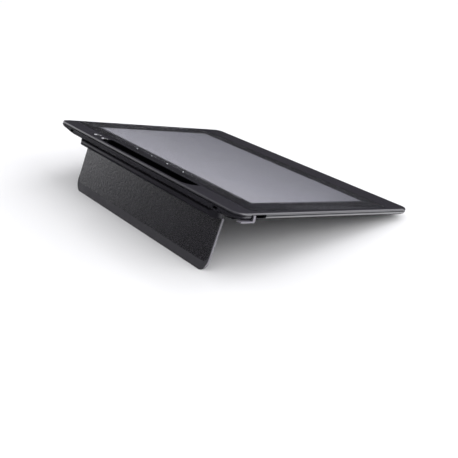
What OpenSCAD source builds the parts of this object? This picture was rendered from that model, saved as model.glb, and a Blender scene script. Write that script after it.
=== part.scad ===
// Pen drawing tablet: a slim screen tablet that leans on a folding stand leaf.
// Tablet axes: x runs along the long side, y from the low edge to the raised
// edge, and z out of the top face, which lies at z = 0. on_tablet() tilts those
// axes and stands them on the floor. Left is -x and right is +x.

/* [Body] */
// Width of the body
body_w = 282; // [280:1:290]
// Depth of the body from the low edge to the raised edge
body_d = 204; // [204:1:210]
// Thickness from the top face to the underside
body_t = 10; // [10:0.1:10.4]
// Radius of the corners in plan
corner_r = 9; // [8:0.5:10]
// Radius of the rounding around the top face
edge_r = 1.5; // [1.2:0.1:1.6]
// Slope of the top face
tilt = 15; // [14:0.5:16]
// Height above the floor of the top face's low edge
low_edge_h = 8.3; // [8.1:0.1:9]

/* [Screen] */
// Width of the cover glass
glass_w = 272; // [268:1:272]
// Low edge of the cover glass
glass_low = 26; // [24:1:28]
// High edge of the cover glass
glass_high = 187; // [186:0.5:187.5]
// Corner radius of the cover glass
glass_r = 6.5; // [4:0.5:8]
// Thickness of the cover glass
glass_t = 1; // [0.8:0.1:1]
// Width of the visible picture, which is 16 to 9
screen_w = 233.6; // [230:0.1:234]
// Low edge of the visible picture
screen_low = 39; // [38:0.5:40]

/* [Pen groove] */
// Width of the groove
groove_w = 10.6; // [9:0.1:10.8]
// Outer edge of the groove
groove_high = 200; // [199:0.5:200]
// Left end of the groove
groove_left = -72.5; // [-76:0.5:-68]
// Right end of the groove
groove_right = 64.2; // [60:0.1:64.5]
// Depth of the groove at its middle
groove_depth = 5.3; // [4.5:0.1:5.3]

/* [Keys and button] */
// Distance between the marks of the touch keys
key_pitch = 24.5; // [20:0.5:26]
// Middle of the row of touch keys
key_mid = 1.4; // [-2:0.1:3]
// Number of touch keys
key_count = 4; // [2:1:4]
// Distance of the row of touch keys from the low edge
key_y = 177.8; // [177:0.1:178.5]
// Middle of the power button
button_x = 82.6; // [81:0.1:90]
// Travel of the power button
button_travel = 0.6; // [0.3:0.1:0.6]
// Middle of the eyelet for the pen's tether
eyelet_x = 69.2; // [69:0.1:70]

/* [Stand] */
// Width of the stand leaf
leaf_w = 214; // [212:0.5:219]
// Thickness of the stand leaf
leaf_t = 2.4; // [2.2:0.1:2.8]
// Lean of the open leaf from a square to the tablet's back
leaf_lean = 9; // [6:0.5:10]
// Distance of the hinge line from the low edge
hinge_y = 186.1; // [185:0.1:186.5]
// Depth of the hinge line below the top face
hinge_drop = 13.1; // [13.1:0.1:13.5]
// Width of the hinge bar
bar_w = 216; // [210:1:218]
// Depth of the hinge bar below the underside
bar_h = 5.4; // [5.2:0.1:5.8]

/* [Hidden] */

$fn = 64;
eps = 0.01;
thin = 0.1;         // thickness of a slice that only shapes a hull
cut = 0.5;          // how far a cutting shape runs past a face
seam_top = -1.9;    // underside of the top frame's rim
seam_low = -2.6;    // upper edge of the back cover's rim
seal_in = 0.6;      // how far the seal lies back from the body's sides
rim_low = -3;       // lower edge of the upright part of the rim
rim_in_low = -3.5;  // the same edge inside the cover
wall = 1.5;
floor_t = 1.3;      // thickness of the back cover under the electronics
cavity_low = -body_t + floor_t;

// Underside: flat in the middle, rising gently to the sides and the low edge.
flat_w = body_w - 47;
flat_low = 9.5;
flat_high = body_d - 9.7;
flat_r = 12;
tuck = [[0.3, -3.7], [1.1, -4.8], [2.8, -5.7]]; // insets and depths where the rim rounds under
back_edge_w = 230;  // width over which the raised edge keeps its full height
back_edge = [[0, -5.7], [-0.7, -6.8], [-2.2, -7.6]];  // y past the body's edge and z of its rounding

// Layers below the top face, from the glass down.
tape_t = 0.2;
pocket_low = -glass_t - tape_t;
panel_t = 1.1;
guide_t = 2;
tray_t = 0.4;
tray_wall = 0.7;
screen_h = screen_w * 9 / 16;
screen_mid = screen_low + screen_h / 2;
panel_w = screen_w + 4.4;
panel_h = screen_h + 4.6;
play = 0.2;
window_w = panel_w + 2 * play;
window_h = panel_h + 2 * play;
panel_low = pocket_low - panel_t;
guide_low = panel_low - guide_t;
tray_low = guide_low - tray_t;
tray_w = window_w + 2 * tray_wall;
tray_h = window_h + 2 * tray_wall;
sensor_top = tray_low - 0.1;
sensor_t = 0.8;
sensor_low = sensor_top - sensor_t;
sensor_margin = 1.4;    // strip of the sensor board that the tray leaves free
window_r = 0.5;
sensor_edge = screen_mid - tray_h / 2 - sensor_margin;
shield_top = sensor_low - 0.1;
shield_t = 0.6;
shield_low = shield_top - shield_t;

// Groove, with its gloss tray and the holes at its right end.
groove_low = groove_high - groove_w;
groove_mid = (groove_low + groove_high) / 2;
tray_skin = 1;
bowl_r = 6.6;
end_low = -2.2;     // depth of the groove's pointed end
groove_end_x = groove_left + groove_w;
holes_y = groove_mid;
ring_r = 4.1;
ring_bore = 3.3;
ring_low = -1.8;
flare = 0.7;        // depth of the flare at the mouth of the ring and the cup
button_r = 3.15;
button_top = -0.5;
button_low = -3.3;
flange_r = 3.8;
flange_t = 0.6;
mark_r = 0.65;      // white marks of the touch keys
cup_r = 3.4;
cup_bore = 2.9;
cup_low = -5.6;
cup_floor = 0.5;
tether_r = 0.7;
tether_z = -3.4;
notch_w = 3;
notch_low = -2;

// Lip that locates the top frame inside the back cover.
lip_out = wall + 0.1;
lip_in = lip_out + 1;
lip_low = -3.3;

// Screws: bosses hang from the top frame, heads sit in the underside.
screw_low_y = 27;
screw_high_y = 181;
screw_side_x = 112;
screw_inner_x = 58;
screw_at = [
    [-screw_side_x, screw_low_y], [0, screw_low_y], [screw_side_x, screw_low_y],
    [-screw_side_x, screw_high_y], [-screw_inner_x, screw_high_y],
    [screw_inner_x, screw_high_y], [screw_side_x, screw_high_y]
];
boss_r = 2.4;
screw_r = 0.85;
screw_hole_r = 1.05;
screw_head_r = 1.9;
screw_head_t = 0.7;
screw_tip = -3.6;
drive_r = 0.9;      // circle around the hexagon of a screw's drive
drive_deep = 0.4;

// Security slots in the raised edge.
slot_x = 114;
slot_w = 6;
slot_h = 2.2;
slot_z = -4.2;
plate_w = 8;
plate_h = 3;
plate_t = 1.1;

// Port in the left side.
port_low = 175.7;
port_high = 190.6;
port_top = -1.3;
port_bottom = -4.2;
port_deep = 2.6;
socket_y = 181.5;
socket_w = 7.6;
socket_h = 2.6;
socket_z = -2.75;
socket_l = 8;
shell_t = 0.3;
tongue_w = 5.2;     // the socket's inner tongue
tongue_t = 0.6;
bezel_t = 0.8;

// Boards.
board_t = 0.8;
main_x = [12, 100];
main_y = [13, 33];
main_top = -5;
main_low = main_top - board_t;
port_board_x = [-133, -124];
port_board_y = [176, 187];
port_board_top = -4.15;
port_board_low = port_board_top - 0.6;
chip_t = 1.1;
ribbon_t = 0.2;
display_ribbon_x = [40, 70];
display_ribbon_y = [29, 33.2];      // on the main board, and where it bends up
sensor_ribbon_x = [14, 30];
sensor_ribbon_y = 27;
port_ribbon_x = [-126, -122.4];
port_ribbon_y = [15.6, 19.2];
key_board_top = seam_top - 0.1;
key_board_h = 4.6;
button_board_top = -5.1;

// Stand.
under = -body_t;
hinge_z = -hinge_drop;
bar_low = under - bar_h;
bar_back = body_d - 4.2;
bar_back_r = 3;     // half-round back of the bar
bar_front = hinge_y + 3.1;
bar_end_r = 9;
barrel_r = 2.6;
pin_r = 1.2;
pin_bore_r = 1.25;
hinge_x = 80;
barrel_l = 24;
ear_l = 4.5;
ear_gap = 0.2;
arm_y = [187.5, 200.9];
arm_slim_y = 191.5; // back of the arm where it is slim
arm_slim_x = 120;   // where the left arm starts to widen to its hook
arm_t = 1.5;
arm_in = bar_w / 2 - 9;
arm_gap = 0.12;     // free height between an arm or hook and the rising underside
hook_t = 1.15;
hook_plate_t = 1.3;
hook_gap = 0.05;
hook_up_y = [187.3, 189.4];
hook_up_top = -1.5;
hook_grip = 3.6;    // how far a hook's plate reaches in under the rim
hook_r = 1.2;
insert_x = 50;
insert_y = 192.1;
insert_r = 1.9;
insert_top = -6.6;
stand_screw_r = 1;
stand_tip = insert_top - 0.5;
stand_head_r = 2.2;
stand_head_t = 1.4;

// Leaf: its own axes hang from the hinge line, z down the leaf is negative.
leaf_slope = tilt + leaf_lean;
hinge_h = hinge_y * sin(tilt) + hinge_z * cos(tilt) + low_edge_h;
skin_t = 0.7;
skin_top = -4.2;
skin_low = -41;
skin_r = 7;         // low corners of the skin
skin_side = 0.5;    // strip of the core left bare at the skin's sides
core_low = -45.8;
leaf_clear = 3.2;   // free radius that the leaf keeps around the hinge's ears
leaf_out = 1.75;    // outer face of the leaf, behind the hinge line
leaf_mid = leaf_out - skin_t;
leaf_in = leaf_out - leaf_t;
leaf_foot_r = 12;
leaf_over = 1.1;    // length past the floor, which the floor cut takes off

// Feet at the low edge: their soles lie on the floor.
foot_x = 92;
foot_w = 44;
foot_y = [11, 19];
foot_in = 0.5;

// Place of the origin: middle of the whole outline, on the floor.
y_first = edge_r * sin(tilt);
leaf_end = (hinge_h + leaf_out * sin(leaf_slope)) / cos(leaf_slope);
y_hinge = hinge_y * cos(tilt) - hinge_z * sin(tilt);
y_last = y_hinge + leaf_out * cos(leaf_slope) + leaf_end * sin(leaf_slope);
y_shift = -(y_first + y_last) / 2;

// ---- frames and shared shapes ----

module on_tablet() {
    translate([0, y_shift, low_edge_h]) rotate([tilt, 0, 0]) children();
}

module on_leaf() {
    on_tablet() translate([0, hinge_y, hinge_z]) rotate([leaf_lean, 0, 0]) children();
}

module both_sides() {
    children();
    mirror([1, 0, 0]) children();
}

module rounded(w, y0, y1, r) {
    translate([-w / 2, y0 + r]) square([w, y1 - y0 - 2 * r]);
    translate([-w / 2 + r, y0]) square([w - 2 * r, y1 - y0]);
    for (x = [-1, 1], y = [y0 + r, y1 - r]) translate([x * (w / 2 - r), y]) circle(r);
}

module slab(w, y0, y1, r, z0, z1) {
    translate([0, 0, z0]) linear_extrude(z1 - z0) rounded(w, y0, y1, r);
}

// A slab inset by the same distance all round from the body's outline.
module body_slab(inset, z0, z1) {
    slab(body_w - 2 * inset, inset, body_d - inset, corner_r - inset, z0, z1);
}

module body_ring(outer, inner, z0, z1) {
    difference() {
        body_slab(outer, z0, z1);
        body_slab(inner, z0 - cut, z1 + cut);
    }
}

// Pairs of limits: either side of a middle, or from a start.
function around(mid, size) = [mid - size / 2, mid + size / 2];
function from(start, size) = [min(start, start + size), max(start, start + size)];

// Place along x of one touch key.
function key_x(i) = key_mid + (i - (key_count - 1) / 2) * key_pitch;

module block(x, y, z) {
    translate([x[0], y[0], z[0]]) cube([x[1] - x[0], y[1] - y[0], z[1] - z[0]]);
}

module post(x, y, r, z0, z1) {
    translate([x, y, z0]) cylinder(h = z1 - z0, r = r);
}

// An outline in y and z, carried along x.
module along_x(x0, x1) {
    translate([x0, 0, 0]) rotate([90, 0, 90]) linear_extrude(x1 - x0) children();
}

// An outline in x and z, carried along y.
module along_y(y0, y1) {
    translate([0, y1, 0]) rotate([90, 0, 0]) linear_extrude(y1 - y0) children();
}

module below_floor() {
    translate([-body_w, -body_d, -body_t * 2]) cube([2 * body_w, 2 * body_d, body_t * 2]);
}

// ---- top frame ----

// Half of the rounded section: from the middle out to a quarter round.
module round_side(w) {
    translate([0, -edge_r]) square([w - edge_r, edge_r]);
    intersection() {
        translate([w - edge_r, -edge_r]) circle(edge_r);
        translate([w - edge_r, -edge_r]) square(edge_r);
    }
}

module rounded_top() {
    x_out = body_w / 2;
    for (x = [-1, 1], y = [corner_r, body_d - corner_r])
        translate([x * (x_out - corner_r), y, 0]) rotate_extrude() round_side(corner_r);
    for (turn = [0, 180]) translate([0, body_d / 2, 0]) rotate([0, 0, turn]) {
        along_x(corner_r - x_out, x_out - corner_r) round_side(body_d / 2);
        along_y(corner_r - body_d / 2, body_d / 2 - corner_r) round_side(x_out);
    }
}

// Plan of the groove's left end, where the outer side curves in to a point.
module groove_end_plan(grow) {
    r = groove_w + grow;
    intersection() {
        translate([groove_end_x, groove_low]) circle(r);
        translate([groove_end_x - 2 * r, groove_low - grow]) square([4 * r, 2 * r]);
    }
}

module groove_plan(grow) {
    groove_end_plan(grow);
    translate([groove_end_x, groove_low - grow])
        square([groove_right + grow - groove_end_x, groove_w + 2 * grow]);
}

module tether_notch() {
    block([groove_right - tray_skin, eyelet_x], around(holes_y, notch_w), [notch_low, cut]);
}

module port_cut() {
    x_out = -body_w / 2;
    block([x_out - cut, x_out + port_deep], [port_low, port_high], [port_bottom, port_top]);
    block([x_out, x_out + port_deep + socket_l], around(socket_y, socket_w + 2 * play),
          [port_bottom, port_top]);
}

module top_frame() {
    color("#3d3c44") on_tablet() difference() {
        union() {
            rounded_top();
            body_slab(0, seam_top, -edge_r);
            body_ring(lip_out, lip_in, lip_low, seam_top + eps);
            for (p = screw_at) post(p[0], p[1], boss_r, cavity_low, seam_top + eps);
        }
        slab(glass_w + 2 * play, glass_low - play, glass_high + play, glass_r + play, pocket_low, cut);
        slab(window_w, screen_mid - window_h / 2, screen_mid + window_h / 2, window_r, seam_top - cut, 0);
        translate([0, 0, seam_top - 2]) linear_extrude(4) groove_plan(tray_skin + 0.05);
        post(button_x, holes_y, ring_r + 0.05, seam_top - cut, cut);
        post(eyelet_x, holes_y, cup_r + 0.05, seam_top - cut, cut);
        tether_notch();
        for (p = screw_at) post(p[0], p[1], screw_r, cavity_low - cut, screw_tip + 0.3);
        for (i = [0:key_count - 1]) post(key_x(i), key_y, mark_r + 0.05, seam_top - cut, 0);
        both_sides()
            block(around(slot_x, plate_w + 2 * play), [body_d - 4, body_d - 1], [lip_low - cut, seam_top]);
        port_cut();
    }
}

// ---- back cover ----

// A hair-thin bar along the raised edge, one point of the hull's section.
module thin_bar(w, y, z) {
    block(around(0, w), [y - thin, y], [z, z + thin]);
}

module cover_outside() {
    hull() {
        body_slab(0, rim_low, seam_low);
        for (t = tuck) body_slab(t[0], t[1], t[1] + thin);
        slab(flat_w, flat_low, flat_high, flat_r, under, under + thin);
        for (e = back_edge) thin_bar(back_edge_w, body_d + e[0], e[1]);
    }
}

module cover_inside() {
    narrow = 2.2;
    hull() {
        body_slab(wall, rim_in_low, seam_low + cut);
        slab(flat_w - 2 * narrow, flat_low + 2, flat_high - wall, flat_r - wall,
             cavity_low, cavity_low + thin);
        for (e = back_edge) thin_bar(back_edge_w - 2, body_d - wall + e[0], e[1] + wall / 2);
    }
}

// Ribs that carry the shield plate.
module cover_ribs() {
    rib = 1.2;
    reach = 100;
    for (y = [55:33:154]) block([-reach, reach], around(y, rib), [cavity_low - eps, shield_low - 0.05]);
    for (x = [-75:50:75]) block(around(x, rib), [45, 165], [cavity_low - eps, shield_low - 0.05]);
}

module back_cover() {
    color("#35343b") on_tablet() difference() {
        union() {
            difference() {
                cover_outside();
                cover_inside();
            }
            cover_ribs();
            both_sides() post(insert_x, insert_y, insert_r + 1, cavity_low - eps, insert_top);
        }
        for (p = screw_at) {
            post(p[0], p[1], screw_hole_r, under - cut, cavity_low + cut);
            post(p[0], p[1], screw_head_r + 0.1, under - cut, under + screw_head_t + 0.1);
        }
        both_sides() post(insert_x, insert_y, insert_r, under - cut, insert_top + cut);
        both_sides() block(around(slot_x, slot_w), [body_d - 3, body_d + cut], around(slot_z, slot_h));
        both_sides() lock_plate_shape(0.05, false);
        both_sides() block(around(foot_x, foot_w), foot_y, [under - cut, under + foot_in]);
        port_cut();
        block(port_board_x + [-play, play], port_board_y + [-play, play],
              [port_board_top - board_t, seam_low]);
    }
}

module rim_seal() {
    color("#141417") on_tablet() difference() {
        body_ring(seal_in, wall, seam_low, seam_top);
        block([-body_w / 2 - cut, -body_w / 2 + 2 * wall], [port_low, port_high],
              [seam_low - cut, seam_top + cut]);
    }
}

// ---- glass and picture ----

module cover_glass() {
    color("#9aa3b5", 0.4) on_tablet() slab(glass_w, glass_low, glass_high, glass_r, -glass_t, 0);
}

module glass_tape() {
    color("#101013") on_tablet() difference() {
        slab(glass_w, glass_low, glass_high, glass_r, pocket_low, -glass_t);
        block(around(0, screen_w), around(screen_mid, screen_h), [pocket_low - cut, 0]);
        for (i = [0:key_count - 1]) post(key_x(i), key_y, mark_r, pocket_low - cut, 0);
    }
}

module centred_sheet(w, h, z0, z1) {
    block(around(0, w), around(screen_mid, h), [z0, z1]);
}

module screen_panel() {
    color("#a9adbb") on_tablet() centred_sheet(panel_w, panel_h, panel_low, pocket_low);
}

module light_guide() {
    color("#e8ebf0") on_tablet() centred_sheet(panel_w, panel_h, guide_low, panel_low);
}

module screen_tray() {
    ribbon_x = [38, 72];
    color("#a7a9ad") on_tablet() difference() {
        centred_sheet(tray_w, tray_h, tray_low, seam_top - 0.05);
        centred_sheet(window_w, window_h, guide_low, 0);
        block(ribbon_x, around(screen_mid - tray_h / 2, 2 * tray_wall + cut), [panel_low - 1, 0]);
    }
}

module pen_sensor_board() {
    color("#1f5b3c") on_tablet()
        block(around(0, tray_w), from(sensor_edge, tray_h), [sensor_low, sensor_top]);
}

module shield_plate() {
    color("#b6b8bc") on_tablet() centred_sheet(tray_w - 2, tray_h - 4, shield_low, shield_top);
}

// ---- boards and ribbons ----

module main_board() {
    color("#1d6a45") on_tablet() block(main_x, main_y, [main_low, main_top]);
}

module main_board_chips() {
    // Middle in x and y, then the two sizes, of each chip.
    chips = [
        [24, 20, 9, 9], [42, 19, 12, 6], [57, 20, 10, 10], [71, 19, 7, 7], [87, 18, 14, 5], [86, 27, 8, 8]
    ];
    color("#202024") on_tablet()
        for (c = chips) block(around(c[0], c[2]), around(c[1], c[3]), from(main_top, chip_t));
}

// A ribbon that lies on the main board, bends up and runs to y_far at z_far.
module ribbon(x, y, y_far, z_far) {
    color("#c58a2c") on_tablet() {
        block(x, [y[1], y_far], from(z_far, -ribbon_t));
        block(x, from(y[1], -ribbon_t), [main_top, z_far]);
        block(x, [y[0], y[1] - ribbon_t], from(main_top, ribbon_t));
    }
}

module display_ribbon() {
    ribbon(display_ribbon_x, display_ribbon_y, screen_mid - panel_h / 2 - 0.05, panel_low - 0.1);
}

module sensor_ribbon() {
    color("#c58a2c") on_tablet()
        block(sensor_ribbon_x, [sensor_ribbon_y, sensor_edge], [main_top, main_top + ribbon_t]);
}

module port_board() {
    color("#1d6a45") on_tablet() block(port_board_x, port_board_y, [port_board_low, port_board_top]);
}

// Flat lead from the port board along the left side and the low edge.
module port_ribbon() {
    y = port_ribbon_y;
    top = port_board_low;
    bend = main_x[0] - 2 * ribbon_t;
    color("#c58a2c") on_tablet() {
        block(port_ribbon_x, [y[0], port_board_y[1] - 3], from(top, -ribbon_t));
        block([port_ribbon_x[1], bend], y, from(top, -ribbon_t));
        block(from(bend, -ribbon_t), y, [main_top, top]);
        block(from(bend, 5), y, from(main_top, ribbon_t));
    }
}

module usb_socket() {
    x0 = -body_w / 2 + port_deep - bezel_t / 2;
    color("#c9cacd") on_tablet() {
        difference() {
            block([x0, x0 + socket_l], around(socket_y, socket_w), around(socket_z, socket_h));
            block([x0 - cut, x0 + socket_l - 1], around(socket_y, socket_w - 2 * shell_t),
                  around(socket_z, socket_h - 2 * shell_t));
        }
        block([x0 + 1, x0 + socket_l - 0.5], around(socket_y, tongue_w), around(socket_z, tongue_t));
    }
}

module port_bezel() {
    x1 = -body_w / 2 + port_deep;
    edge = 0.05;
    color("#17171a") on_tablet() difference() {
        block([x1 - bezel_t, x1], [port_low + edge, port_high - edge],
              [port_bottom + edge, port_top - edge]);
        block([x1 - bezel_t - cut, x1 + cut], around(socket_y, socket_w + edge),
              around(socket_z, socket_h + edge));
    }
}

module touch_key_board() {
    reach = (key_count - 1) / 2 * key_pitch + 6;
    color("#1d6a45") on_tablet()
        block(around(key_mid, 2 * reach), around(key_y, key_board_h), from(key_board_top, -board_t));
}

module key_mark_lenses() {
    color("#f2f2f0") on_tablet()
        for (i = [0:key_count - 1]) post(key_x(i), key_y, mark_r, key_board_top, -glass_t);
}

// ---- groove, button and eyelet ----

// Section of the groove: upright sides over a round bottom.
module groove_section() {
    intersection() {
        translate([groove_mid, bowl_r - groove_depth]) circle(bowl_r);
        translate([groove_low, -2 * groove_depth]) square([groove_w, 2 * groove_depth + cut]);
    }
}

module pen_tray() {
    tray_bottom = -groove_depth - tray_skin;
    color("#0b0b0d") on_tablet() difference() {
        translate([0, 0, tray_bottom]) linear_extrude(-tray_bottom) groove_plan(tray_skin);
        along_x(groove_end_x, groove_right) groove_section();
        translate([0, 0, end_low]) linear_extrude(cut - end_low) groove_end_plan(0);
        tether_notch();
    }
}

module button_ring() {
    color("#d8d8dc") on_tablet() translate([button_x, holes_y, 0]) rotate_extrude() polygon([
        [ring_bore, ring_low], [ring_bore, -flare], [ring_r - 0.2, 0], [ring_r, 0], [ring_r, ring_low]
    ]);
}

module power_button() {
    dish_r = 14;
    dish_low = -1.3;
    flange_z = -2.9;
    color("#26262b") on_tablet() translate([button_x, holes_y, 0]) difference() {
        union() {
            translate([0, 0, button_low]) cylinder(h = button_top - button_low, r = button_r);
            translate([0, 0, flange_z]) cylinder(h = flange_t, r = flange_r);
        }
        translate([0, 0, dish_r + dish_low]) sphere(dish_r);
    }
}

module power_switch() {
    top = button_low - button_travel - 0.05;
    color("#bfc0c4") on_tablet() {
        block(around(button_x, 4), around(holes_y, 3.2), [button_board_top, top - 0.2]);
        post(button_x, holes_y, 0.8, top - 0.2, top);
    }
}

module power_board() {
    color("#1d6a45") on_tablet()
        block([button_x - 6, button_x + 8], around(holes_y, 9), from(button_board_top, -board_t));
}

module tether_cup() {
    color("#d8d8dc") on_tablet() difference() {
        translate([eyelet_x, holes_y, 0]) rotate_extrude() polygon([
            [0, cup_low], [cup_r, cup_low], [cup_r, 0], [cup_r - 0.1, 0], [cup_bore, -flare],
            [cup_bore, cup_low + cup_floor], [0, cup_low + cup_floor]
        ]);
        tether_notch();
    }
}

module tether_pin() {
    color("#b9babf") on_tablet() translate([eyelet_x, holes_y, tether_z]) rotate([90, 0, 0])
        cylinder(h = 2 * cup_bore - 0.3, r = tether_r, center = true);
}

// ---- fixings and feet ----

module lock_plate_shape(grow, holed) {
    y1 = body_d - wall - 0.1;
    difference() {
        block(around(slot_x, plate_w + 2 * grow), [y1 - plate_t - grow, y1 + grow],
              around(slot_z, plate_h + 2 * grow));
        if (holed) block(around(slot_x, slot_w), [y1 - 5, y1 + 5], around(slot_z, slot_h));
    }
}

module lock_plate_right() {
    color("#8f9196") on_tablet() lock_plate_shape(0, true);
}

module lock_plate_left() {
    color("#8f9196") on_tablet() mirror([1, 0, 0]) lock_plate_shape(0, true);
}

module front_foot_right() {
    top = under + foot_in;
    low = function (y) -(low_edge_h + y * sin(tilt)) / cos(tilt);
    color("#202022") on_tablet() along_x(foot_x - foot_w / 2, foot_x + foot_w / 2) polygon([
        [foot_y[0], top], [foot_y[0], low(foot_y[0])], [foot_y[1], low(foot_y[1])], [foot_y[1], top]
    ]);
}

module front_foot_left() {
    mirror([1, 0, 0]) front_foot_right();
}

module screw(x, y, z_head, head_r, head_t, r, z_tip) {
    difference() {
        union() {
            post(x, y, head_r, z_head, z_head + head_t);
            post(x, y, r, z_head + head_t, z_tip);
        }
        translate([x, y, z_head - cut]) cylinder(h = cut + drive_deep, r = drive_r, $fn = 6);
    }
}

module cover_screws() {
    color("#4a4b50") on_tablet()
        for (p = screw_at) screw(p[0], p[1], under + 0.05, screw_head_r, screw_head_t, screw_r, screw_tip);
}

module stand_inserts() {
    color("#c9a24a") on_tablet() both_sides() difference() {
        post(insert_x, insert_y, insert_r, under, insert_top);
        post(insert_x, insert_y, stand_screw_r, under - cut, insert_top + cut);
    }
}

module stand_screws() {
    color("#4a4b50") on_tablet() both_sides()
        screw(insert_x, insert_y, bar_low + 0.1, stand_head_r, stand_head_t, stand_screw_r, stand_tip);
}

// ---- stand ----

// Section of the hinge bar: flat in front, half round at the back.
module bar_section() {
    r = bar_back_r;
    translate([bar_front, bar_low]) square([bar_back - r - bar_front, bar_h]);
    translate([bar_back - r, bar_low + r]) circle(r);
}

module hinge_ear(x) {
    translate([x, hinge_y, hinge_z]) rotate([0, 90, 0]) cylinder(h = ear_l, r = barrel_r);
    block([x, x + ear_l], [hinge_y, bar_front + eps], [bar_low, hinge_z + 2.3]);
}

// Height just below the rising underside at a distance x from the middle.
function rise_z(x) =
    let (side = tuck[2], share = (x - flat_w / 2) / (body_w / 2 - side[0] - flat_w / 2))
    under + (side[1] - under) * share - arm_gap;

module arm_section() {
    x_end = body_w / 2 - hook_grip;
    z_in = under - hook_gap;
    polygon([
        [arm_in, z_in], [flat_w / 2, z_in - arm_gap], [x_end, rise_z(x_end)],
        [x_end, rise_z(x_end) - hook_plate_t], [flat_w / 2, under - arm_t], [arm_in, under - arm_t]
    ]);
}

// Plan of an arm: slim beside the bar, then widening to y_back at the hook.
module arm_plan(y_back) {
    x_end = body_w / 2 - hook_grip;
    polygon([
        [arm_in, arm_y[0]], [x_end, arm_y[0]], [x_end, y_back],
        [arm_slim_x, arm_slim_y], [arm_in, arm_slim_y]
    ]);
}

module arm(y_back) {
    intersection() {
        along_y(arm_y[0], y_back) arm_section();
        translate([0, 0, bar_low]) linear_extrude(bar_h) arm_plan(y_back);
    }
}

module stand_bar() {
    outer = hinge_x + barrel_l / 2 + ear_gap;
    inner = hinge_x - barrel_l / 2 - ear_gap - ear_l;
    color("#2b2b31") on_tablet() difference() {
        union() {
            intersection() {
                along_x(-bar_w / 2, bar_w / 2) bar_section();
                slab(bar_w, bar_front - 2 * bar_end_r, bar_back, bar_end_r, bar_low - cut, under + cut);
            }
            both_sides() {
                hinge_ear(inner);
                hinge_ear(outer);
            }
            arm(arm_slim_y + eps);
            mirror([1, 0, 0]) arm(arm_y[1]);
        }
        both_sides() {
            translate([inner - cut, hinge_y, hinge_z]) rotate([0, 90, 0])
                cylinder(h = outer + ear_l - inner + 2 * cut, r = pin_r);
            post(insert_x, insert_y, stand_screw_r + 0.15, bar_low - cut, under + cut);
            post(insert_x, insert_y, stand_head_r + 0.2, bar_low - cut, bar_low + stand_head_t + 0.1);
        }
    }
}

// Plate under the rim, with an upright that grips the side.
module hook(y_back) {
    rim_x = body_w / 2 - tuck[2][0];
    x0 = body_w / 2 - hook_grip;
    x1 = body_w / 2 + hook_gap;
    x2 = x1 + hook_t;
    z0 = rise_z(x0);
    z1 = rise_z(rim_x);
    along_y(arm_y[0], y_back) {
        polygon([
            [x0, z0], [x0, z0 - hook_plate_t], [x2 - hook_r, z1 - hook_plate_t],
            [x2 - hook_r, z1 - hook_r + eps], [x2, z1 - hook_r + eps], [x2, z1], [rim_x, z1]
        ]);
        intersection() {
            translate([x2 - hook_r, z1 - hook_plate_t + hook_r]) circle(hook_r);
            translate([x2 - hook_r, z1 - hook_plate_t]) square([hook_r, hook_plate_t]);
        }
    }
    block([x1, x2], hook_up_y, [z1 - eps, hook_up_top]);
}

module stand_hook_right() {
    color("#b4b5ba") on_tablet() hook(arm_slim_y);
}

module stand_hook_left() {
    color("#b4b5ba") on_tablet() mirror([1, 0, 0]) hook(arm_y[1]);
}

module hinge_pin_right() {
    l = barrel_l + 2 * (ear_gap + ear_l) - 0.6;
    color("#c4c5ca") on_tablet() translate([hinge_x - l / 2, hinge_y, hinge_z]) rotate([0, 90, 0])
        cylinder(h = l, r = pin_r);
}

module hinge_pin_left() {
    mirror([1, 0, 0]) hinge_pin_right();
}

// Outline of the leaf, in x and down the leaf, with round lower corners.
module leaf_plan(z0, z1) {
    low = -leaf_end - leaf_over;
    r = leaf_foot_r;
    intersection() {
        union() {
            translate([-leaf_w / 2, low + r]) square([leaf_w, -leaf_clear - low - r]);
            translate([-leaf_w / 2 + r, low]) square([leaf_w - 2 * r, r + eps]);
            for (x = [-1, 1]) translate([x * (leaf_w / 2 - r), low + r]) circle(r);
        }
        translate([-leaf_w, z0]) square([2 * leaf_w, z1 - z0]);
    }
}

module leaf_sheet(y0, y1, z0, z1) {
    along_y(y0, y1) leaf_plan(z0, z1);
}

module leaf_barrel() {
    stop_y = 2.75;
    stop_z = [-2.2, -0.9];
    translate([hinge_x - barrel_l / 2, 0, 0]) {
        rotate([0, 90, 0]) cylinder(h = barrel_l, r = barrel_r);
        block([0, barrel_l], [leaf_in, leaf_mid], [-leaf_clear - 1, 0]);
        block([barrel_l / 3, 2 * barrel_l / 3], [leaf_mid, stop_y], stop_z);
    }
}

module stand_leaf() {
    color("#9b9ca2") on_leaf() difference() {
        union() {
            leaf_sheet(leaf_in, leaf_mid, core_low, -leaf_clear);
            both_sides() leaf_barrel();
        }
        both_sides() translate([hinge_x - barrel_l, 0, 0]) rotate([0, 90, 0])
            cylinder(h = 2 * barrel_l, r = pin_bore_r);
    }
}

// Outline of the skin, with the round low corners that the foot follows.
module skin_plan() {
    w = leaf_w - 2 * skin_side;
    translate([-w / 2, skin_low + skin_r]) square([w, skin_top - skin_low - skin_r]);
    translate([skin_r - w / 2, skin_low]) square([w - 2 * skin_r, skin_r + eps]);
    for (x = [-1, 1]) translate([x * (w / 2 - skin_r), skin_low + skin_r]) circle(skin_r);
}

module leaf_skin() {
    color("#232328") on_leaf() along_y(leaf_mid, leaf_out) skin_plan();
}

module leaf_foot() {
    low = -leaf_end - leaf_over;
    color("#1b1b1e") difference() {
        on_leaf() {
            along_y(leaf_mid, leaf_out) difference() {
                leaf_plan(low, skin_low + skin_r);
                skin_plan();
            }
            leaf_sheet(leaf_in, leaf_mid + eps, low, core_low);
        }
        below_floor();
    }
}

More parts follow.
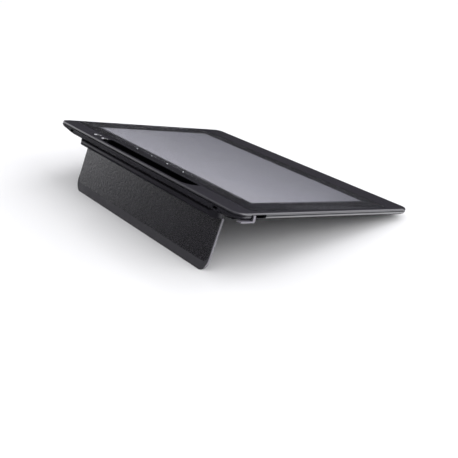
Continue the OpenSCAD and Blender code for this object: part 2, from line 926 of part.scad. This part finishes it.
top_frame();
back_cover();
rim_seal();
cover_glass();
glass_tape();
screen_panel();
light_guide();
screen_tray();
pen_sensor_board();
shield_plate();
main_board();
main_board_chips();
display_ribbon();
sensor_ribbon();
port_ribbon();
port_board();
usb_socket();
port_bezel();
touch_key_board();
key_mark_lenses();
pen_tray();
button_ring();
power_button();
power_switch();
power_board();
tether_cup();
tether_pin();
lock_plate_left();
lock_plate_right();
front_foot_left();
front_foot_right();
cover_screws();
stand_inserts();
stand_bar();
stand_hook_left();
stand_hook_right();
stand_screws();
hinge_pin_left();
hinge_pin_right();
stand_leaf();
leaf_skin();
leaf_foot();
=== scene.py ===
"""Looks, light and camera for a pen drawing tablet on its folding stand leaf."""

import math

import bpy
from mathutils import Matrix, Vector


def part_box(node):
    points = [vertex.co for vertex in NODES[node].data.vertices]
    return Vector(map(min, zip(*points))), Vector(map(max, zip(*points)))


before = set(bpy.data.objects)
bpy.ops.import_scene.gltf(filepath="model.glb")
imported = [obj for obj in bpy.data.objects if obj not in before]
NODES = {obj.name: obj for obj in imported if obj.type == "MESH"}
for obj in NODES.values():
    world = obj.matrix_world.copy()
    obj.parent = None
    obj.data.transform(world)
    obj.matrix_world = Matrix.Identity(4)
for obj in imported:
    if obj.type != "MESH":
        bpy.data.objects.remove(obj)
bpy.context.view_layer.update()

MM = 0.001

# ---- camera, floor and light ----

CAMERA_AT = Vector((-0.5174, 0.3964, 0.2884))
CAMERA_AIM = Vector((-0.1062, 0.0762, 0.0300))
CAMERA_ROLL = math.radians(-0.36)
CAMERA_LENS = 58.27
CAMERA_CLIP = 0.02
FLOOR_HALF = 8.0


def make_camera():
    data = bpy.data.cameras.new("camera")
    data.lens = CAMERA_LENS
    data.clip_start = CAMERA_CLIP
    camera = bpy.data.objects.new("camera", data)
    bpy.context.scene.collection.objects.link(camera)
    look = (CAMERA_AIM - CAMERA_AT).to_track_quat("-Z", "Y").to_matrix().to_4x4()
    roll = Matrix.Rotation(CAMERA_ROLL, 4, "Z")
    camera.matrix_world = Matrix.Translation(CAMERA_AT) @ look @ roll
    bpy.context.scene.camera = camera


def make_floor():
    half = FLOOR_HALF
    mesh = bpy.data.meshes.new("floor")
    corners = [(-half, -half, 0), (half, -half, 0), (half, half, 0), (-half, half, 0)]
    mesh.from_pydata(corners, [], [(0, 1, 2, 3)])
    floor = bpy.data.objects.new("floor", mesh)
    bpy.context.scene.collection.objects.link(floor)
    mesh.materials.append(polished_floor())
    floor.visible_glossy = False


def polished_floor():
    """White acrylic: a diffuse sheet under a faint even mirror."""
    material = bpy.data.materials.new("floor")
    material.use_nodes = True
    nodes, links = material.node_tree.nodes, material.node_tree.links
    nodes.clear()
    white = nodes.new("ShaderNodeBsdfDiffuse")
    white.inputs["Color"].default_value = (0.86, 0.86, 0.86, 1)
    mirror = nodes.new("ShaderNodeBsdfGlossy")
    mirror.inputs["Roughness"].default_value = 0.05
    both = nodes.new("ShaderNodeMixShader")
    both.inputs["Fac"].default_value = 0.17
    out = nodes.new("ShaderNodeOutputMaterial")
    links.new(white.outputs[0], both.inputs[1])
    links.new(mirror.outputs[0], both.inputs[2])
    links.new(both.outputs[0], out.inputs["Surface"])
    return material


def make_softbox(name, place, aim, width, height, power):
    data = bpy.data.lights.new(name, "AREA")
    data.shape = "RECTANGLE"
    data.size = width
    data.size_y = height
    data.energy = power
    light = bpy.data.objects.new(name, data)
    light.location = place
    light.rotation_euler = (Vector(aim) - Vector(place)).to_track_quat("-Z", "Y").to_euler()
    bpy.context.scene.collection.objects.link(light)


# Each reflector card: its direction, the cosines of its edge and even middle, and its grey.
CARDS = [
    ((-0.50, -0.55, -0.65), 0.75, 0.88, 3.6),
    ((-0.50, -0.62, 0.60), 0.72, 0.86, 4.2),
    ((0.97, 0.14, 0.21), 0.90, 0.945, 2.6),
    ((0.71, 0.11, 0.70), 0.985, 0.995, 1.0),
]


def make_world():
    """A pale studio. Polished faces see a dark backdrop with bright reflector cards instead."""
    world = bpy.data.worlds.new("studio")
    world.use_nodes = True
    nodes, links = world.node_tree.nodes, world.node_tree.links
    nodes.clear()
    direction = nodes.new("ShaderNodeTexCoord").outputs["Generated"]
    ray = nodes.new("ShaderNodeLightPath")

    def ramp(factor, *stops):
        node = nodes.new("ShaderNodeValToRGB")
        for point, (position, grey) in zip(node.color_ramp.elements, stops):
            point.position = position
            point.color = (grey, grey, 1.03 * grey, 1)
        links.new(factor, node.inputs[0])
        return node.outputs["Color"]

    def card(towards, edge, middle, grey):
        """A soft round card: the cosines of its edge and of its evenly bright middle."""
        near = nodes.new("ShaderNodeVectorMath")
        near.operation = "DOT_PRODUCT"
        links.new(direction, near.inputs[0])
        near.inputs[1].default_value = Vector(towards).normalized()
        return ramp(near.outputs["Value"], (edge, 0), (middle, grey))

    def plus(a, b):
        node = nodes.new("ShaderNodeVectorMath")
        links.new(a, node.inputs[0])
        links.new(b, node.inputs[1])
        return node.outputs[0]

    def light_for(test, colour, otherwise):
        light = nodes.new("ShaderNodeBackground")
        links.new(colour, light.inputs["Color"])
        both = nodes.new("ShaderNodeMixShader")
        links.new(ray.outputs[test], both.inputs[0])
        links.new(otherwise, both.inputs[1])
        links.new(light.outputs[0], both.inputs[2])
        return both.outputs[0]

    height = nodes.new("ShaderNodeSeparateXYZ")
    links.new(direction, height.inputs[0])
    mirrored = ramp(height.outputs["Z"], (0.22, 0.03), (0.8, 0.55))
    for towards, edge, middle, grey in CARDS:
        mirrored = plus(mirrored, card(towards, edge, middle, grey))
    polished = nodes.new("ShaderNodeBackground")
    links.new(mirrored, polished.inputs["Color"])
    diffuse = ramp(height.outputs["Z"], (0.05, 1.0), (0.5, 0.66))
    seen = light_for("Is Diffuse Ray", diffuse, polished.outputs[0])
    white = nodes.new("ShaderNodeRGB")
    white.outputs[0].default_value = (1, 1, 1, 1)
    seen = light_for("Is Camera Ray", white.outputs[0], seen)
    out = nodes.new("ShaderNodeOutputWorld")
    links.new(seen, out.inputs["Surface"])
    bpy.context.scene.world = world


def make_studio():
    make_world()
    make_softbox("overhead", (-0.1, 0.3, 1.8), (0, 0, 0), 1.9, 1.9, 10)
    make_softbox("near_side", (-1.4, -0.4, 0.8), (0, 0, 0.03), 0.9, 0.7, 9)
    bpy.context.scene.view_settings.view_transform = "Standard"


# ---- materials ----

class Surface:
    """A Principled material whose textures read the object's own coordinates, in metres."""

    def __init__(self, name, **sockets):
        self.material = bpy.data.materials.new(name)
        self.material.use_nodes = True
        self.tree = self.material.node_tree
        self.shader = self.tree.nodes["Principled BSDF"]
        for socket, value in sockets.items():
            self.set(socket.replace("_", " "), value)

    def set(self, socket, value):
        """Links a socket to an output, or gives it a plain value."""
        self.feed(self.shader.inputs[socket], value)

    def feed(self, socket, value):
        if isinstance(value, bpy.types.NodeSocket):
            self.tree.links.new(value, socket)
        elif hasattr(value, "__len__") and len(value) == 3 and socket.type == "RGBA":
            socket.default_value = (*value, 1)
        else:
            socket.default_value = value

    def add(self, kind, sockets=(), **settings):
        node = self.tree.nodes.new("ShaderNode" + kind)
        for name, value in settings.items():
            setattr(node, name, value)
        for name, value in dict(sockets).items():
            self.feed(node.inputs[name], value)
        return node

    def place(self, stretch=(1, 1, 1)):
        where = self.add("TexCoord").outputs["Object"]
        return self.add("Mapping", {"Vector": where, "Scale": stretch}).outputs[0]

    def noise(self, size, detail=2, stretch=(1, 1, 1), roughness=0.5):
        """Cloudy noise whose blotches are about as wide as size, in metres."""
        return self.add("TexNoise", {
            "Vector": self.place(stretch), "Scale": 1 / size,
            "Detail": detail, "Roughness": roughness,
        }).outputs[0]

    def cells(self, size, feature="F1"):
        """Distance to the middle, or to the edge, of cells about as wide as size."""
        return self.add("TexVoronoi", {"Vector": self.place(), "Scale": 1 / size},
                        feature=feature).outputs["Distance"]

    def ramp(self, factor, *stops):
        """Colours at places along a factor."""
        node = self.add("ValToRGB", {"Fac": factor})
        points = node.color_ramp.elements
        while len(points) < len(stops):
            points.new(0.5)
        for point, (position, colour) in zip(points, stops):
            point.position = position
            point.color = (*colour, 1)
        return node.outputs["Color"]

    def mix(self, factor, a, b):
        node = self.add("Mix", data_type="RGBA")
        self.feed(node.inputs["Factor"], factor)
        for name, value in (("A", a), ("B", b)):
            self.feed([s for s in node.inputs if s.name == name and s.type == "RGBA"][0], value)
        return [s for s in node.outputs if s.type == "RGBA"][0]

    def number(self, factor, low, high, start=0.0, end=1.0):
        """A factor from start to end, carried over to the range from low to high."""
        return self.add("MapRange", {
            "Value": factor, "From Min": start, "From Max": end, "To Min": low, "To Max": high,
        }).outputs[0]

    def edges(self, radius):
        """1 on edges and corners, 0 on flat and gently curved faces."""
        round_normal = self.add("Bevel", {"Radius": radius}, samples=4).outputs[0]
        flat_normal = self.add("NewGeometry").outputs["Normal"]
        same = self.add("VectorMath", {0: round_normal, 1: flat_normal}, operation="DOT_PRODUCT")
        return self.number(same.outputs["Value"], 1, 0, 0.85, 0.995)

    def bump(self, *layers):
        """Relief from (height, depth in metres) pairs, laid over one another."""
        normal = None
        for height, depth in layers:
            node = self.add("Bump", {"Height": height, "Distance": depth, "Strength": 1.0})
            if normal is not None:
                self.feed(node.inputs["Normal"], normal)
            normal = node.outputs[0]
        self.set("Normal", normal)


def moulded(name, dark, light, rough, grain, depth, worn, **sockets):
    """Moulded plastic: a fine spark-eroded grain, faint clouds and slightly rubbed edges."""
    s = Surface(name, **sockets)
    clouds = s.noise(0.03, 3)
    tint = s.mix(s.number(clouds, 0, 1, 0.3, 0.7), dark, light)
    fine = s.noise(grain, 2)
    tint = s.mix(s.number(fine, 0, 0.3, 0.4, 0.7), tint, light)
    s.set("Base Color", s.mix(s.number(s.edges(0.4 * MM), 0, 0.25), tint, worn))
    s.set("Roughness", s.number(s.noise(0.012, 3), rough - 0.01, rough + 0.015, 0.3, 0.7))
    s.bump((fine, depth))
    return s.material


def housing():
    return moulded("housing", (0.016, 0.0150, 0.0190), (0.020, 0.0188, 0.0238), 0.25,
                   0.28 * MM, 0.0012 * MM, (0.026, 0.0245, 0.031))


def cover():
    return moulded("cover", (0.014, 0.0132, 0.0166), (0.018, 0.0170, 0.0214), 0.24,
                   0.32 * MM, 0.004 * MM, (0.05, 0.05, 0.056), Specular_IOR_Level=0.4)


def seal():
    return moulded("seal", (0.003, 0.003, 0.0035), (0.004, 0.004, 0.005), 0.62,
                   0.2 * MM, 0.006 * MM, (0.006, 0.006, 0.007), Specular_IOR_Level=0.1)


def stand_plastic():
    return moulded("stand_plastic", (0.015, 0.0142, 0.0178), (0.020, 0.0189, 0.0238), 0.30,
                   0.25 * MM, 0.004 * MM, (0.03, 0.03, 0.034), Specular_IOR_Level=0.12)


def button():
    return moulded("button", (0.020, 0.020, 0.023), (0.027, 0.027, 0.031), 0.28,
                   0.2 * MM, 0.003 * MM, (0.08, 0.08, 0.085))


def gloss_black():
    return moulded("gloss_black", (0.001, 0.001, 0.0012), (0.0016, 0.0016, 0.002), 0.55,
                   0.4 * MM, 0.001 * MM, (0.006, 0.006, 0.007), Specular_IOR_Level=0.0)


def black_print():
    return moulded("black_print", (0.013, 0.0124, 0.0154), (0.015, 0.0143, 0.0178), 0.55,
                   0.3 * MM, 0.0004 * MM, (0.017, 0.0162, 0.0200), Specular_IOR_Level=0.1)


def chip():
    return moulded("chip", (0.012, 0.012, 0.013), (0.022, 0.022, 0.024), 0.5,
                   0.15 * MM, 0.004 * MM, (0.04, 0.04, 0.04))


def light_guide():
    return moulded("light_guide", (0.78, 0.80, 0.84), (0.88, 0.90, 0.93), 0.2,
                   0.8 * MM, 0.002 * MM, (0.95, 0.95, 0.97))


# The white marks glow through emission, which is painted light: they are printed marks, not lamps.
def mark_white():
    return moulded("mark_white", (0.75, 0.75, 0.73), (0.85, 0.85, 0.83), 0.35,
                   0.2 * MM, 0.001 * MM, (0.9, 0.9, 0.9), Emission_Color=(0.9, 0.92, 1, 1),
                   Emission_Strength=1.6)


def glass():
    s = Surface("glass", Transmission_Weight=1.0, IOR=1.45, Base_Color=(0.93, 0.94, 0.97, 1))
    smears = s.noise(0.05, 4, (1, 2.5, 1))
    s.set("Roughness", s.number(smears, 0.05, 0.062, 0.35, 0.7))
    return s.material


def picture():
    """A painted reflection: a glowing soft gradient from the raised edge to the low edge that
    stands in for the bright studio mirrored in the screen, with the panel's fine lattice.
    """
    s = Surface("picture", Roughness=0.35, Emission_Strength=1.0)
    low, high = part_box("screen_panel")
    across = s.add("SeparateXYZ", {"Vector": s.place()})
    slope = s.number(across.outputs["Y"], 0, 1, low.y, high.y)
    # painted reflection: the emission brightens towards the raised edge, as the studio's reflection
    # in the screen does
    painted_reflection = s.ramp(slope, (0.0, (0.085, 0.082, 0.105)), (0.45, (0.265, 0.257, 0.295)),
                  (1.0, (0.47, 0.46, 0.50)))
    soft = s.noise(0.09, 2)
    painted_reflection = s.mix(s.number(soft, 0, 0.12, 0.3, 0.7), painted_reflection, (0.5, 0.49, 0.53))
    s.set("Emission Color", painted_reflection)
    lattice = s.cells(0.5 * MM)
    s.set("Base Color", s.ramp(lattice, (0.0, (0.03, 0.03, 0.034)), (0.6, (0.05, 0.05, 0.055))))
    return s.material


def metal(name, dark, light, rough, brushed):
    """Metal with drawn lines along x if brushed, else a fine grain, and brighter rubbed edges."""
    s = Surface(name, Metallic=1.0)
    lines = s.noise(0.4 * MM, 3, (0.02, 1, 1) if brushed else (1, 1, 1))
    clouds = s.noise(0.02, 3)
    tint = s.mix(s.number(clouds, 0, 1, 0.3, 0.7), dark, light)
    s.set("Base Color", s.mix(s.number(s.edges(0.3 * MM), 0, 0.5), tint, light))
    s.set("Roughness", s.number(lines, rough - 0.06, rough + 0.08, 0.3, 0.7))
    s.bump((lines, 0.002 * MM))
    return s.material


def sheet_steel():
    return metal("sheet_steel", (0.42, 0.43, 0.45), (0.58, 0.59, 0.61), 0.34, True)


def socket_metal():
    return metal("socket_metal", (0.56, 0.56, 0.58), (0.74, 0.74, 0.76), 0.24, True)


def polished_ring():
    return metal("polished_ring", (0.10, 0.10, 0.105), (0.16, 0.16, 0.165), 0.16, False)


def light_metal():
    return moulded("light_metal", (0.090, 0.086, 0.101), (0.108, 0.103, 0.121), 0.38,
                   0.2 * MM, 0.003 * MM, (0.24, 0.24, 0.26))


def screw_steel():
    return metal("screw_steel", (0.030, 0.030, 0.032), (0.055, 0.055, 0.060), 0.4, False)


def brass():
    return metal("brass", (0.62, 0.44, 0.17), (0.80, 0.60, 0.28), 0.28, False)


def rubber():
    s = Surface("rubber", Roughness=0.62)
    fine = s.noise(0.22 * MM, 3)
    dust = s.noise(0.008, 4)
    tint = s.mix(s.number(fine, 0, 1, 0.35, 0.65), (0.022, 0.0208, 0.0262), (0.030, 0.0283, 0.0355))
    tint = s.mix(s.number(dust, 0, 0.25, 0.5, 0.75), tint, (0.050, 0.048, 0.057))
    s.set("Base Color", tint)
    s.set("Roughness", s.number(dust, 0.5, 0.72, 0.3, 0.7))
    s.bump((fine, 0.01 * MM))
    return s.material


def grain_skin():
    """Grained leatherette: pebbles of two sizes with fine pores between them."""
    s = Surface("grain_skin", Specular_IOR_Level=0.9)
    pebbles = s.cells(2.0 * MM, "SMOOTH_F1")
    small = s.cells(0.6 * MM)
    speckle = s.noise(0.9 * MM, 3, roughness=0.7)
    clouds = s.noise(0.035, 3)
    tint = s.mix(s.number(clouds, 0, 1, 0.3, 0.7),
                 (0.0075, 0.0071, 0.0092), (0.0105, 0.0099, 0.0127))
    tint = s.mix(s.number(pebbles, 0.5, 0, 0.1, 0.6), tint, (0.022, 0.0206, 0.0262))
    tint = s.mix(s.number(speckle, 0, 0.6, 0.5, 0.75), tint, (0.030, 0.0282, 0.0358))
    s.set("Base Color", tint)
    s.set("Roughness", s.number(small, 0.18, 0.28, 0.1, 0.6))
    s.bump((pebbles, -0.09 * MM), (small, -0.03 * MM), (speckle, 0.03 * MM))
    return s.material


def circuit_board():
    """Green lacquer over a lattice of copper tracks."""
    s = Surface("circuit_board", Coat_Weight=0.4, Coat_Roughness=0.15)
    tracks = s.cells(1.6 * MM, "DISTANCE_TO_EDGE")
    tint = s.ramp(tracks, (0.03, (0.10, 0.30, 0.17)), (0.08, (0.015, 0.115, 0.06)))
    clouds = s.number(s.noise(0.01, 3), 0, 0.5, 0.3, 0.7)
    s.set("Base Color", s.mix(clouds, tint, (0.02, 0.15, 0.085)))
    s.set("Roughness", s.number(s.noise(0.002, 3), 0.3, 0.5, 0.3, 0.7))
    s.bump((s.number(tracks, 0, 1, 0.03, 0.08), -0.02 * MM))
    return s.material


def ribbon():
    """Amber film with copper lines along it."""
    s = Surface("ribbon", Coat_Weight=0.5, Coat_Roughness=0.1)
    lines = s.add("TexWave", {"Vector": s.place(), "Scale": 0.25 / MM},
                  bands_direction="X").outputs[1]
    tint = s.mix(s.number(lines, 0, 1, 0.35, 0.65), (0.50, 0.24, 0.05), (0.62, 0.36, 0.12))
    s.set("Base Color", tint)
    s.set("Roughness", s.number(lines, 0.25, 0.4, 0.3, 0.7))
    s.bump((lines, 0.01 * MM))
    return s.material


MATERIALS = {
    "housing": housing, "cover": cover, "seal": seal, "glass": glass, "black_print": black_print,
    "picture": picture, "light_guide": light_guide, "sheet_steel": sheet_steel,
    "circuit_board": circuit_board, "chip": chip, "ribbon": ribbon, "socket_metal": socket_metal,
    "mark_white": mark_white, "gloss_black": gloss_black, "polished_ring": polished_ring,
    "button": button, "stand_plastic": stand_plastic, "light_metal": light_metal,
    "grain_skin": grain_skin, "rubber": rubber, "screw_steel": screw_steel, "brass": brass,
}


def dress_nodes():
    """Gives every CAD node the finished material of its slot."""
    slots = {node: piece.material_slots[0].material.name for node, piece in NODES.items()}
    for name in set(slots.values()):
        bpy.data.materials[name].name = name + "_plain"
    made = {name: MATERIALS[name]() for name in sorted(set(slots.values()))}
    for node, name in slots.items():
        NODES[node].material_slots[0].material = made[name]


# ---- rounded edges ----

WELD_GAP = 0.002 * MM
FLAT_ANGLE = math.radians(0.4)
SHARP_ANGLE = math.radians(32)
EDGE_SEGMENTS = 3


def round_edges(node, width):
    """Small round edges on a CAD node, as modifiers over its own mesh."""
    piece = NODES[node]
    mesh = piece.data
    if "custom_normal" in mesh.attributes:
        mesh.attributes.remove(mesh.attributes["custom_normal"])
    mesh.polygons.foreach_set("use_smooth", [True] * len(mesh.polygons))
    weld = piece.modifiers.new("weld", "WELD")
    weld.merge_threshold = WELD_GAP
    flats = piece.modifiers.new("flats", "DECIMATE")
    flats.decimate_type = "DISSOLVE"
    flats.angle_limit = FLAT_ANGLE
    edges = piece.modifiers.new("edges", "BEVEL")
    edges.width = width
    edges.segments = EDGE_SEGMENTS
    edges.limit_method = "ANGLE"
    edges.angle_limit = SHARP_ANGLE
    edges.harden_normals = True
    edges.use_clamp_overlap = True


# How wide each node's rounded edges are.
ROUNDED = {
    "back_cover": 0.3 * MM, "stand_bar": 0.5 * MM,
    "stand_hook_left": 0.25 * MM, "stand_hook_right": 0.25 * MM, "port_bezel": 0.12 * MM,
    "stand_leaf": 0.3 * MM, "leaf_skin": 0.25 * MM, "leaf_foot": 0.25 * MM,
    "front_foot_left": 0.4 * MM, "front_foot_right": 0.4 * MM, "pen_tray": 0.15 * MM,
    "power_button": 0.12 * MM,
}

make_camera()
make_floor()
make_studio()
dress_nodes()
NODES["cover_glass"].visible_shadow = False         # light reaches the print under the glass
for node_name, edge_width in ROUNDED.items():
    round_edges(node_name, edge_width)
